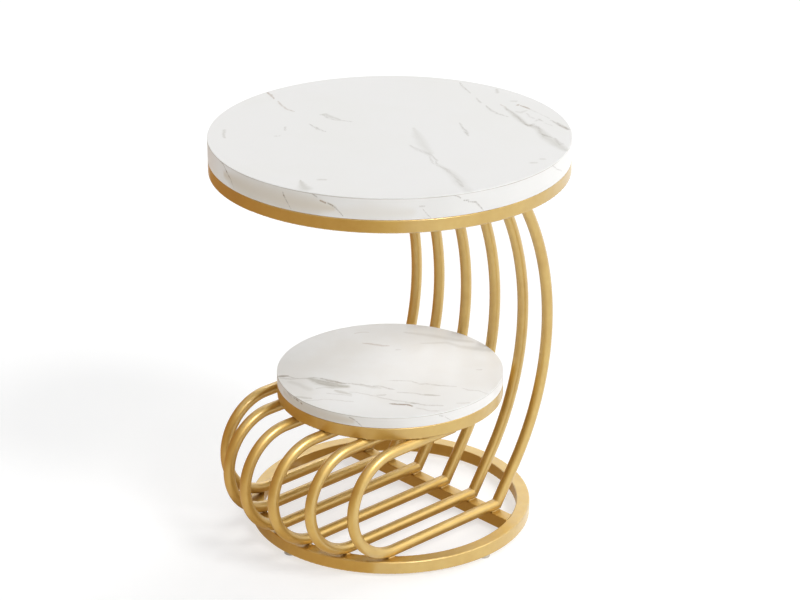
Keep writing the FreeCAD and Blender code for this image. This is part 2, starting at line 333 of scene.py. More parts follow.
# ---- Finishes ----
@dataclass(frozen=True)
class Finish:
    """A surface finish."""

    name: str

    def wire(self, bench: Bench) -> None:
        """Feed the shader; each finish has its own way."""
        raise NotImplementedError(self.name)


@cache
def material_of(finish: Finish) -> bpy.types.Material:
    """Give a finish's material, built on first use.

    Args:
        finish: the finish.

    Returns:
        Its material.
    """
    made = bpy.data.materials.new(finish.name)
    finish.wire(Bench(made))
    return made


@dataclass(frozen=True)
class GoldCoat(Finish):
    """Satin gold lacquer on steel tube."""

    gold: Colour = (0.645, 0.45, 0.13, 1.0)
    deep: Colour = (0.561, 0.36, 0.086, 1.0)
    # Tone of the pale edges: worn lacquer, and a painted highlight along the rounded edges.
    worn_edge_and_highlight: Colour = tint(214, 190, 146)
    dust: Colour = tint(190, 182, 168)
    deep_share: float = 0.3
    edge_tone_share: float = 0.45
    roughness: float = 0.5
    dust_roughness: float = 0.5

    def wire(self, bench: Bench) -> None:
        """Feed the shader with mottled gold, pale edges of wear and painted highlight, faint dust
        and fine grain.

        Args:
            bench: the material's wiring.
        """
        shade = bench.drift(self.deep_share, scale=26.0, spread=1.6)
        # Pale edges: partly wear where the lacquer rubs thin, partly a painted highlight along the
        # rounded edges.
        edge_mask = bench.effect(Effect.EDGE_WEAR, {"Reach": 1.4 * MM, "Breaks": 120.0})
        edge_share = bench.math("MULTIPLY", edge_mask, self.edge_tone_share)
        body = bench.blend(edge_share, bench.blend(shade, self.gold, self.deep), self.worn_edge_and_highlight)
        dust = bench.effect(Effect.DUST, {"Amount": 0.08, "Scale": 160.0})
        rough = bench.drift(self.roughness, scale=70.0, spread=0.3)
        bench.feed(bench.shader, {
            "Base Color": bench.blend(dust, body, self.dust),
            "Roughness": bench.math("MULTIPLY_ADD", dust, self.dust_roughness, rough),
            "Normal": bench.grain(1400.0, coarse=0.8, strength=0.12, distance=0.1 * MM),
            "Metallic": 1.0,
            "Coat Weight": 1.0,
            "Coat Roughness": 0.25,
            "Coat IOR": 1.7,
        })


@dataclass(frozen=True)
class PlatedMetal(Finish):
    """Zinc plate or turned brass, with faint tool marks."""

    bright: Colour
    dull: Colour
    roughness: float
    mark_scale: float
    dull_share: float = 0.45
    edge_tone_share: float = 0.6

    def wire(self, bench: Bench) -> None:
        """Feed the shader with spangled metal and bright edges.

        Args:
            bench: the material's wiring.
        """
        shade = bench.drift(self.dull_share, scale=self.mark_scale, spread=1.8)
        edge_mask = bench.effect(Effect.EDGE_WEAR, {"Reach": 0.5 * MM, "Breaks": 400.0})
        edge_share = bench.math("MULTIPLY", edge_mask, self.edge_tone_share)
        body = bench.blend(shade, self.bright, self.dull)
        bench.feed(bench.shader, {
            "Base Color": bench.blend(edge_share, body, self.bright),
            "Roughness": bench.drift(self.roughness, scale=3.0 * self.mark_scale, spread=0.3),
            "Normal": bench.grain(3000.0, coarse=0.5, strength=0.2, distance=0.05 * MM),
            "Metallic": 1.0,
        })


@dataclass(frozen=True)
class Fibreboard(Finish):
    """Fibreboard, raw at its edges, with white balancing paper glued to its underside."""

    light: Colour = tint(190, 160, 122)
    dark: Colour = tint(158, 126, 90)
    paper: Colour = tint(232, 230, 226)
    roughness: float = 0.86

    def wire(self, bench: Bench) -> None:
        """Feed the shader with pressed fibres, and paper where the board faces down.

        Args:
            bench: the material's wiring.
        """
        stretched = bench.vector("MULTIPLY", bench.place(), (1.0, 0.35, 1.0))
        fibres = bench.noise(stretched, 900.0, detail=6.0, roughness=0.7)
        raw = bench.blend(bench.drift(fibres, scale=14.0, spread=0.5), self.light, self.dark)
        downward = bench.ease(bench.dot(bench.normal(), tuple(-UP)), 0.8, 0.95)
        bench.feed(bench.shader, {
            "Base Color": bench.blend(downward, raw, self.paper),
            "Roughness": bench.drift(self.roughness, scale=200.0, spread=0.15),
            "Normal": bench.bump(fibres, 0.35, 0.15 * MM),
        })


@dataclass(frozen=True)
class MouldedPlastic(Finish):
    """Spark-eroded plastic moulding with paler rubbed edges."""

    body: Colour
    rubbed: Colour
    roughness: float = 0.55
    rubbed_share: float = 0.7

    def wire(self, bench: Bench) -> None:
        """Feed the shader with a textured moulding.

        Args:
            bench: the material's wiring.
        """
        edge_mask = bench.effect(Effect.EDGE_WEAR, {"Reach": 0.8 * MM, "Breaks": 260.0})
        shade = bench.drift(edge_mask, scale=110.0, spread=0.35)
        share = bench.math("MULTIPLY", shade, self.rubbed_share)
        bench.feed(bench.shader, {
            "Base Color": bench.blend(share, self.body, self.rubbed),
            "Roughness": bench.drift(self.roughness, scale=300.0, spread=0.2),
            "Normal": bench.grain(2200.0, coarse=0.6, strength=0.4, distance=0.12 * MM),
        })


GOLD = GoldCoat("gold_coat")
ZINC = PlatedMetal("zinc_plate", tint(214, 214, 212), tint(168, 170, 172), 0.34, 260.0)
BRASS = PlatedMetal("turned_brass", tint(226, 196, 128), tint(176, 140, 76), 0.3, 340.0)
FIBRE = Fibreboard("raw_fibreboard")
GLIDE_PLASTIC = MouldedPlastic("grey_moulding", tint(190, 183, 170), tint(210, 204, 192))
PLUG_PLASTIC = MouldedPlastic("gold_brown_moulding", tint(150, 116, 62), tint(186, 154, 100), 0.45)


@dataclass(frozen=True)
class Ink:
    """A printed colour, and how broken its lines are, from 0 to 1."""

    colour: Colour
    broken: float


class VeinTone(Enum):
    """Inks of the veins in the marble pattern."""

    WASH = Ink(tint(213, 205, 191), 0.0)
    SMOKE = Ink(tint(184, 181, 172), 0.2)
    LINE = Ink(tint(148, 141, 130), 0.85)
    EARTH = Ink(tint(136, 102, 60), 0.5)


@dataclass(frozen=True)
class Veins:
    """Veins drawn in one tone.

    Each stroke is its depth and its (across, along, half width) points in mm, end to end.
    """

    tone: VeinTone
    strokes: tuple[tuple[float | Point, ...], ...]


class Layout(Enum):
    """How a marble pattern is laid on its board."""

    SHEET = "sheet"
    BAND = "band"


@dataclass(frozen=True)
class MarbleLaminate(Finish):
    """Satin white laminate, printed with a grey marble pattern."""

    layout: Layout
    veins: tuple[Veins, ...]
    rim_radius: float
    grain_angle: float
    foot: float = 0.0
    height: float = 0.0
    ground: Colour = tint(233, 232, 229)
    cloud: Colour = tint(229, 228, 225)
    seam: Colour = tint(168, 158, 146)
    seam_fade: tuple[float, float] = (1.3 * MM, 0.5 * MM)
    seam_share: tuple[float, float] = (0.3, 0.75)
    wobble: float = 3.6
    sways: tuple[tuple[float, float], ...] = ((30.0, 1.0), (170.0, 0.4), (520.0, 0.28))
    streaks: tuple[float, float] = (0.34, 0.6)
    roughness: float = 0.36

    def _point(self, bench: Bench) -> Socket:
        """Give the place in the pattern, in mm, with the drawn lines made to wander.

        Args:
            bench: the material's wiring.

        Returns:
            The point's socket.
        """
        here = bench.place()
        axes = bench.node("SeparateXYZ", {"Vector": here}).outputs
        across, along = axes["X"], axes["Y"]
        if self.layout is Layout.BAND:
            across = bench.math("MULTIPLY", bench.math("ARCTAN2", along, across), self.rim_radius)
            along = bench.math("SUBTRACT", axes["Z"], self.foot)
        flat = bench.node("CombineXYZ", {"X": across, "Y": along}).outputs["Vector"]
        point = bench.scaled(flat, 1.0 / MM)
        for scale, share in self.sways:
            sway = bench.noise(here, scale, detail=2.0, output="Color")
            shift = bench.vector("SUBTRACT", sway, (0.5, 0.5, 0.5))
            level = bench.vector("MULTIPLY", shift, (1.0, 1.0, 0.0))
            point = bench.vector("ADD", point, bench.scaled(level, self.wobble * share * 2.0))
        return point

    def _mask(self, bench: Bench, point: Socket, veins: Veins) -> object:
        """Join the runs of every stroke of one tone.

        Args:
            bench: the material's wiring.
            point: the place in the pattern.
            veins: the strokes of the tone.

        Returns:
            The mask's socket.
        """
        mask: object = 0.0
        for depth, *points in veins.strokes:
            for start, end in zip(points, points[1:]):
                mask = bench.effect(Effect.VEIN, {
                    "Point": point, "Start": (*start[:2], 0.0), "End": (*end[:2], 0.0),
                    "Start Width": start[2], "End Width": end[2], "Depth": depth,
                    "So Far": mask,
                })
        return mask

    def _seamed(self, bench: Bench, colour: Socket) -> Socket:
        """Darken the glue line where the band meets its sheet.

        Args:
            bench: the material's wiring.
            colour: the band's colour so far.

        Returns:
            The colour with the glue line.
        """
        here = bench.place()
        level = bench.node("SeparateXYZ", {"Vector": here}).outputs["Z"]
        top = self.foot + self.height
        line = bench.ease(level, *(top - reach for reach in self.seam_fade))
        patchy = bench.ease(bench.noise(here, 16.0, detail=4.0), 0.35, 0.65, *self.seam_share)
        return bench.blend(bench.math("MULTIPLY", line, patchy), colour, self.seam)

    def wire(self, bench: Bench) -> None:
        """Feed the shader with clouded white, drawn veins and a satin print.

        Args:
            bench: the material's wiring.
        """
        point = self._point(bench)
        clouds = bench.effect(Effect.CLOUDING, {"Scale": 8.0})
        colour = bench.blend(clouds, self.ground, self.cloud)
        angle = math.radians(-self.grain_angle)
        feeds = {"Point": bench.place(), "Angle": angle, "Scale": 520.0}
        crackle = bench.effect(Effect.STREAKS, feeds)
        for veins in self.veins:
            ink = veins.tone.value
            breaks = bench.ease(crackle, *self.streaks, 1.0 - ink.broken, 1.0)
            share = bench.math("MULTIPLY", self._mask(bench, point, veins), breaks)
            colour = bench.blend(share, colour, ink.colour)
        if self.layout is Layout.BAND:
            colour = self._seamed(bench, colour)
        bench.feed(bench.shader, {
            "Base Color": colour,
            "Roughness": bench.drift(self.roughness, scale=40.0, spread=0.12),
            "Normal": bench.grain(900.0, coarse=0.7, strength=0.05, distance=0.1 * MM),
        })


TOP_VEINS = (
    Veins(VeinTone.SMOKE, (
        (0.5, (31, 191, 3), (57, 182, 7), (85, 170, 9), (102, 164, 6)),
        (0.55, (109, 163, 6), (128, 161, 9), (159, 144, 13), (187, 135, 14), (213, 126, 8)),
        (0.4, (55, 191, 4), (62, 193, 6), (62, 205, 4)),
        (0.5, (19, 219, 5), (23, 223, 5)),
        (0.3, (7, 39, 4), (35, 20, 11), (57, 5, 13), (96, -16, 9)),
        (0.28, (132, -37, 5), (166, -46, 10), (202, -63, 14), (238, -80, 9)),
        (0.6, (53, -209, 2), (66, -218, 8), (80, -226, 15)),
        (0.5, (-166, -157, 4), (-140, -177, 3)),
        (0.5, (-32, 240, 4), (-20, 230, 5)),
        (0.5, (70, -191, 5), (74, -187, 5)),
        (0.45, (213, 77, 5), (216, 80, 5)),
        (0.45, (214, 57, 5), (218, 61, 5)),
        (0.55, (-123, -20, 2), (-120, -13, 6), (-106, -14, 7), (-89, -13, 3)),
    )),
    Veins(VeinTone.LINE, (
        (0.4, (36, 189, 2), (56, 183, 4), (78, 174, 4)),
        (0.45, (79, 173, 4), (98, 165, 5)),
        (0.6, (100, 164, 3), (109, 163, 6), (109, 171, 5)),
        (0.45, (113, 167, 5), (121, 167, 4), (133, 158, 3)),
        (0.65, (145, 149, 3), (153, 149, 4), (164, 149, 2)),
        (0.35, (169, 150, 4), (190, 138, 5), (192, 143, 4)),
        (0.3, (135, 156, 3), (154, 143, 3)),
        (0.3, (59, 213, 2), (72, 211, 2), (90, 207, 2), (106, 204, 2)),
        (0.65, (113, 200, 2), (127, 197, 5), (143, 193, 6), (157, 190, 5)),
        (0.3, (71, 196, 3), (84, 189, 3), (92, 188, 3)),
        (0.4, (101, 181, 2), (100, 190, 5), (108, 189, 2)),
        (0.3, (114, 185, 2), (132, 184, 2)),
        (0.3, (54, -12, 3), (75, -18, 6), (93, -20, 6), (107, -24, 3)),
        (0.4, (92, -15, 3), (105, -21, 3), (121, -27, 3), (131, -36, 2)),
        (0.35, (93, -17, 2), (113, -30, 3), (128, -39, 3), (131, -36, 2)),
        (0.33, (135, -40, 3), (155, -43, 4), (173, -50, 4), (191, -58, 5), (216, -70, 4)),
        (0.5, (35, 101, 2), (54, 87, 3), (68, 79, 5), (82, 71, 2)),
        (0.5, (-90, 223, 2), (-72, 213, 4), (-46, 201, 2)),
        (0.45, (-25, 192, 2), (-5, 182, 3)),
        (0.45, (8, 178, 2), (27, 168, 4), (42, 165, 4), (62, 167, 2)),
        (0.45, (-120, -17, 2), (-106, -20, 3), (-92, -18, 2), (-70, -5, 2)),
        (0.5, (-104, -55, 2), (-90, -58, 4), (-78, -61, 5), (-65, -60, 2)),
        (0.4, (-117, -87, 3), (-107, -97, 3)),
        (0.35, (-100, -121, 3), (-96, -116, 3)),
    )),
    Veins(VeinTone.EARTH, (
        (0.75, (36, 211, 3), (36, 213, 4), (36, 215, 2)),
        (0.75, (41, 214, 2), (48, 214, 4), (53, 214, 4), (60, 213, 2)),
        (0.35, (19, 196, 2), (32, 193, 2)),
        (0.3, (102, 164, 3), (111, 165, 3)),
        (0.3, (138, 194, 3), (152, 191, 3)),
        (0.6, (-246, -8, 2), (-235, -12, 4), (-220, -20, 2)),
        (0.4, (-208, -23, 2), (-186, -33, 3), (-171, -37, 3), (-158, -35, 2)),
    )),
)

SHELF_VEINS = (
    Veins(VeinTone.SMOKE, (
        (0.3, (-64, -133, 8), (-47, -129, 8), (-26, -129, 8)),
        (0.95, (-53, -106, 7), (-33, -102, 15), (-14, -96, 16), (2, -86, 8)),
        (0.6, (1, -106, 4), (10, -103, 7), (25, -98, 3)),
        (0.4, (13, -67, 4), (29, -61, 6), (39, -54, 3)),
        (0.6, (-24, -161, 4), (-13, -154, 6), (-3, -147, 3)),
        (0.32, (-79, 103, 4), (-59, 115, 8), (-29, 130, 10), (-10, 137, 10), (14, 152, 6)),
        (0.32, (-34, 94, 3), (-10, 121, 7), (12, 126, 9), (35, 138, 11), (52, 148, 8)),
        (0.6, (98, -22, 4), (112, -12, 3)),
        (0.4, (147, -10, 3), (158, 2, 3)),
    )),
    Veins(VeinTone.LINE, (
        (0.85, (-89, -134, 4), (-85, -128, 6), (-81, -121, 3)),
        (0.5, (-84, -136, 2), (-74, -129, 3), (-65, -121, 2)),
        (0.5, (-81, -122, 3), (-67, -120, 3), (-58, -110, 3), (-53, -100, 3)),
        (0.45, (-53, -100, 3), (-43, -92, 3)),
        (0.85, (-43, -93, 3), (-31, -89, 5), (-22, -86, 5), (-11, -82, 4), (0, -71, 2)),
        (0.55, (-42, -100, 2), (-31, -97, 2), (-22, -93, 2), (-13, -89, 2)),
        (0.5, (-38, -108, 2), (-26, -105, 3), (-14, -99, 2)),
        (0.55, (-15, -99, 2), (-3, -89, 2)),
        (0.35, (-22, -120, 2), (-16, -110, 2), (-7, -102, 2)),
        (0.45, (1, -73, 3), (13, -65, 4), (28, -60, 2)),
        (0.5, (28, -57, 3), (35, -50, 3), (46, -48, 3), (55, -43, 3)),
        (0.4, (66, -46, 3), (82, -33, 3), (94, -26, 3), (110, -15, 3)),
        (0.4, (0, -119, 2), (15, -109, 2), (30, -100, 2)),
        (0.4, (19, -94, 2), (34, -84, 2), (52, -77, 3)),
        (0.6, (52, -72, 3), (59, -64, 3)),
        (0.45, (52, -77, 3), (67, -72, 3), (82, -67, 3), (95, -60, 3)),
        (0.8, (95, -61, 2), (106, -54, 4), (111, -50, 2)),
        (0.5, (114, -50, 3), (124, -43, 3), (139, -32, 3)),
        (0.95, (85, -79, 3), (97, -71, 5), (102, -65, 4), (111, -62, 3)),
        (0.5, (120, -62, 2), (131, -56, 2), (139, -54, 2), (146, -46, 2)),
        (0.35, (-3, -158, 2), (13, -135, 2), (24, -127, 2), (44, -112, 2)),
        (0.45, (24, -35, 1), (36, -20, 2), (51, -6, 2), (66, -4, 3), (78, 7, 3), (91, 13, 3),
         (109, 27, 1)),
        (0.4, (117, 30, 1), (126, 31, 3), (139, 40, 2), (158, 44, 1)),
        (0.35, (86, 89, 3), (90, 93, 3)),
        (0.35, (-43, 52, 3), (-39, 56, 3)),
    )),
    Veins(VeinTone.EARTH, (
        (0.45, (-88, -132, 3), (-82, -123, 3)),
        (0.35, (-32, -91, 3), (-13, -84, 3)),
        (0.9, (87, -78, 2), (97, -71, 3), (101, -66, 2)),
        (0.9, (104, -64, 3), (111, -63, 2)),
        (0.25, (-127, 47, 2), (-124, 56, 3), (-115, 64, 2)),
        (0.45, (-93, 33, 2), (-84, 39, 4), (-74, 43, 5), (-67, 46, 4), (-61, 53, 2)),
    )),
)

TOP_BAND_VEINS = (
    Veins(VeinTone.WASH, (
        (0.9, (-455, 14, 9), (-410, 12, 26), (-350, 12, 30), (-290, 12, 22), (-262, 12, 8)),
        (0.3, (-262, 8, 8), (-215, 10, 20), (-160, 10, 10)),
        (0.5, (430, 20, 6), (470, 12, 16), (520, 10, 8)),
    )),
    Veins(VeinTone.LINE, (
        (0.7, (-473, 30, 1.5), (-460, 27, 1.5), (-450, 20, 2), (-438, 12, 1.5), (-431, 3, 1)),
        (0.65, (-335, 23, 1.5), (-333, 18, 2), (-328, 10, 1.3), (-323, 2, 1)),
        (0.75, (-294, 30, 1.5), (-290, 28, 2.2), (-284, 25, 1.6)),
        (0.75, (-269, 19, 1.6), (-258, 14, 2.2), (-253, 8, 1.5), (-249, 3, 1)),
        (0.45, (-145, 14, 1), (-139, 6, 1.5), (-134, 1, 1)),
        (0.4, (-149, 18, 2), (-143, 18, 2)),
        (0.6, (-106, 30, 1.2), (-98, 27, 1.8), (-94, 24, 1.2)),
        (0.75, (-89, 20, 1.6), (-83, 19, 2)),
        (0.65, (-83, 17, 1.2), (-72, 15, 2), (-63, 5, 1.6), (-61, 1, 1)),
        (0.4, (72, 30, 1.2), (88, 19, 1.8), (107, 10, 1.2)),
        (0.5, (330, 26, 1), (342, 18, 2), (351, 9, 1.4), (356, 2, 1)),
        (0.5, (560, 28, 1), (568, 21, 1.8), (580, 15, 1.5), (586, 4, 1)),
    )),
    Veins(VeinTone.EARTH, (
        (0.85, (-451, 20.5, 1.8), (-449, 20, 1.8)),
        (0.8, (-444, 16, 1.6), (-443, 15, 1.6)),
        (0.8, (-334, 19, 1.6), (-333, 18, 1.6)),
        (0.9, (-279, 21, 2), (-272, 19, 2)),
        (0.6, (-267, 18, 1.5), (-262, 16, 1.8)),
    )),
)

SHELF_BAND_VEINS = (
    Veins(VeinTone.WASH, (
        (0.8, (-310, 8, 8), (-270, 7, 16), (-220, 7, 18), (-175, 7, 8)),
    )),
    Veins(VeinTone.LINE, (
        (0.5, (-299, 14, 2), (-287, 12, 3)),
        (0.85, (-280, 13, 1.6), (-273, 13, 2.2), (-267, 12, 1.5)),
        (0.6, (-178, 12, 1.4), (-174, 11, 1.8), (-167, 7, 1.4), (-160, 1, 1)),
        (0.5, (-51, 12, 1.4), (-46, 10, 1.8)),
        (0.5, (-42, 8, 1.2), (-33, 1, 1)),
        (0.5, (120, 13, 1), (128, 8, 1.6), (133, 2, 1)),
        (0.5, (330, 14, 1), (336, 9, 1.6), (345, 3, 1)),
    )),
    Veins(VeinTone.EARTH, (
        (0.9, (-272, 12.5, 1.8), (-270, 12, 1.8)),
        (0.85, (-262, 11, 1.8), (-260, 10.5, 1.8)),
    )),
)


# ---- Pieces ----
def dress(finish: Finish, *names: str) -> None:
    """Give CAD nodes a finish.

    Args:
        finish: the finish.
        *names: the nodes' names.
    """
    for name in names:
        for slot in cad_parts[name].material_slots:
            slot.material = material_of(finish)
        LOG.info("dressed %s in %s", name, finish.name)


def set_down(name: str, shape: Shape, material: bpy.types.Material) -> bpy.types.Object:
    """Turn a mesh into an object of one material.

    Args:
        name: the object's name.
        shape: its mesh, which is used up.
        material: its material.

    Returns:
        The object.
    """
    mesh = bpy.data.meshes.new(name)
    shape.to_mesh(mesh)
    shape.free()
    mesh.materials.append(material)
    made = bpy.data.objects.new(name, mesh)
    bpy.context.collection.objects.link(made)
    return made


def add_piece(name: str, shape: Shape, finish: Finish, body: str) -> bpy.types.Object:
    """Turn a mesh into a smooth piece that rides on a body.

    Args:
        name: the piece's name.
        shape: its mesh, which is used up.
        finish: its finish.
        body: the body that it rides on.

    Returns:
        The piece.
    """
    bmesh.ops.recalc_face_normals(shape, faces=shape.faces)
    for face in shape.faces:
        face.smooth = True
    piece = set_down(name, shape, material_of(finish))
    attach(piece, body)
    LOG.info("built %s with %d faces on %s", name, len(piece.data.polygons), body)
    return piece


def loft(shape: Shape, rings: Sequence[Loop], capped: bool = True) -> None:
    """Skin a row of closed rings of vertices.

    Args:
        shape: the mesh that holds them.
        rings: the rings, all with the same number of vertices.
        capped: whether the end rings are filled.
    """
    for first, second in zip(rings, rings[1:]):
        for number, corner in enumerate(first):
            after = (number + 1) % len(first)
            shape.faces.new((corner, first[after], second[after], second[number]))
    if capped:
        shape.faces.new(reversed(rings[0]))
        shape.faces.new(rings[-1])


# ---- Weld beads ----
@dataclass(frozen=True)
class WeldBead:
    """A run of weld along a joint, half sunk into the tubes that it joins."""

    path: Sequence[Vector]
    radius: float
    closed: bool = False
    ripple: float = 0.1
    ripple_pitch: float = 1.8 * MM
    taper: float = 2.0 * MM
    blunt_tip: float = 0.04
    sides: int = 8
    spacing: float = 0.4 * MM
    fewest_steps: int = 6

    def _stations(self) -> list[tuple[Vector, float]]:
        """Space points evenly along the path.

        Returns:
            Each point with its distance from the start.
        """
        corners = [*self.path, *([self.path[0]] if self.closed else [])]
        runs = [(b - a).length for a, b in zip(corners, corners[1:])]
        total = sum(runs)
        count = max(self.fewest_steps, round(total / self.spacing))
        stations = []
        index, passed = 0, 0.0
        for step in range(count if self.closed else count + 1):
            along = total * step / count
            while index < len(runs) - 1 and along > passed + runs[index]:
                passed += runs[index]
                index += 1
            share = (along - passed) / runs[index] if runs[index] else 0.0
            stations.append((corners[index].lerp(corners[index + 1], min(share, 1.0)), along))
        return stations

    def _thickness(self, along: float, total: float) -> float:
        """Give the bead's radius, with its ripples and its tapered ends.

        Args:
            along: the distance from the bead's start.
            total: the bead's length.

        Returns:
            The radius.
        """
        wave = math.sin(2.0 * math.pi * along / self.ripple_pitch)
        radius = self.radius * (1.0 + self.ripple * wave)
        if not self.closed:
            near_end = min(along, total - along) / self.taper
            radius *= math.sqrt(max(self.blunt_tip, min(1.0, near_end)))
        return radius

    def add_to(self, shape: Shape) -> None:
        """Sweep the bead's round section along its path.

        Args:
            shape: the mesh that it is added to.
        """
        stations = self._stations()
        last = len(stations) - 1
        turns = [2.0 * math.pi * number / self.sides for number in range(self.sides)]
        rings = []
        side = None
        for index, (centre, along) in enumerate(stations):
            before = stations[index - 1 if index or self.closed else 0][0]
            after = stations[(index + 1) % (last + 1) if self.closed else min(index + 1, last)][0]
            forward = (after - before).normalized()
            side = forward.orthogonal().normalized() if side is None else side
            side = (side - forward * side.dot(forward)).normalized()
            lift = forward.cross(side)
            radius = self._thickness(along, stations[-1][1])
            rings.append([
                shape.verts.new(centre + (side * math.cos(turn) + lift * math.sin(turn)) * radius)
                for turn in turns
            ])
        if self.closed:
            rings.append(self._matched(rings[-1], rings[0]))
        loft(shape, rings, capped=not self.closed)

    def _matched(self, last: Loop, first: Loop) -> Loop:
        """Turn the first ring's vertices so that they meet the last ring without a twist."""
        shifts = [first[turn:] + first[:turn] for turn in range(self.sides)]
        return min(shifts, key=lambda ring: sum((a.co - b.co).length for a, b in zip(last, ring)))


def add_welds(name: str, beads: Iterable[WeldBead]) -> None:
    """Add some of the frame's welds as one piece.

    Args:
        name: the piece's name.
        beads: its beads.
    """
    shape = bmesh.new()
    for bead in beads:
        bead.add_to(shape)
    add_piece(name, shape, GOLD, TABLE)


# ---- Frame ----
@dataclass(frozen=True)
class TubeRing:
    """A ring of square tube with a crossbar inside it."""

    outer_radius: float
    underside: float
    crossbar_y: float
    stock: float = 19.0 * MM
    corner: float = 1.5 * MM
    bead: float = 0.8 * MM
    bead_inset: float = 0.3 * MM
    bead_steps: int = 12

    @property
    def inner_radius(self) -> float:
        """Radius of the ring's inner wall."""
        return self.outer_radius - self.stock

    @property
    def middle_radius(self) -> float:
        """Radius of the tube's centre line."""
        return self.outer_radius - self.stock / 2

    @property
    def upper_face(self) -> float:
        """Height of the ring's upper face."""
        return self.underside + self.stock

    def span(self, x: float) -> tuple[float, float]:
        """Find where an upright plane crosses the flat face of the ring's front.

        Args:
            x: the plane's X.

        Returns:
            The Y of the flat's outer and of its inner edge.
        """
        outer = self.outer_radius - self.corner
        inner = self.inner_radius + self.corner
        return -math.sqrt(outer**2 - x**2), -math.sqrt(max(inner**2 - x**2, 0.0))

    def crossbar_beads(self) -> list[WeldBead]:
        """Run a bead round each end of the crossbar, where it meets the ring's inner wall.

        Returns:
            The two beads.
        """
        half = self.stock / 2
        outline = []
        for edge in range(4):
            for step in range(self.bead_steps):
                share = ((step + 0.5) / self.bead_steps * 2.0 - 1.0) * half
                walk = ((half, share), (-share, half), (-half, -share), (share, -half))
                outline.append(walk[edge])
        beads = []
        for side in (-1.0, 1.0):
            path = []
            for across, rise in outline:
                y = self.crossbar_y + across
                x = math.sqrt(self.inner_radius**2 - y**2) - self.bead_inset
                path.append(Vector((side * x, y, self.underside + half + rise)))
            beads.append(WeldBead(path, self.bead, closed=True))
        return beads


@dataclass
class BaseFrame:
    """The ring on the floor with its crossbar and rivet nuts."""

    ring: TubeRing

    def build(self) -> None:
        """Dress the base and weld its crossbar in."""
        dress(GOLD, "base_ring", "base_crossbar")
        dress(ZINC, "foot_rivet_nuts")
        add_welds("base_crossbar_welds", self.ring.crossbar_beads())


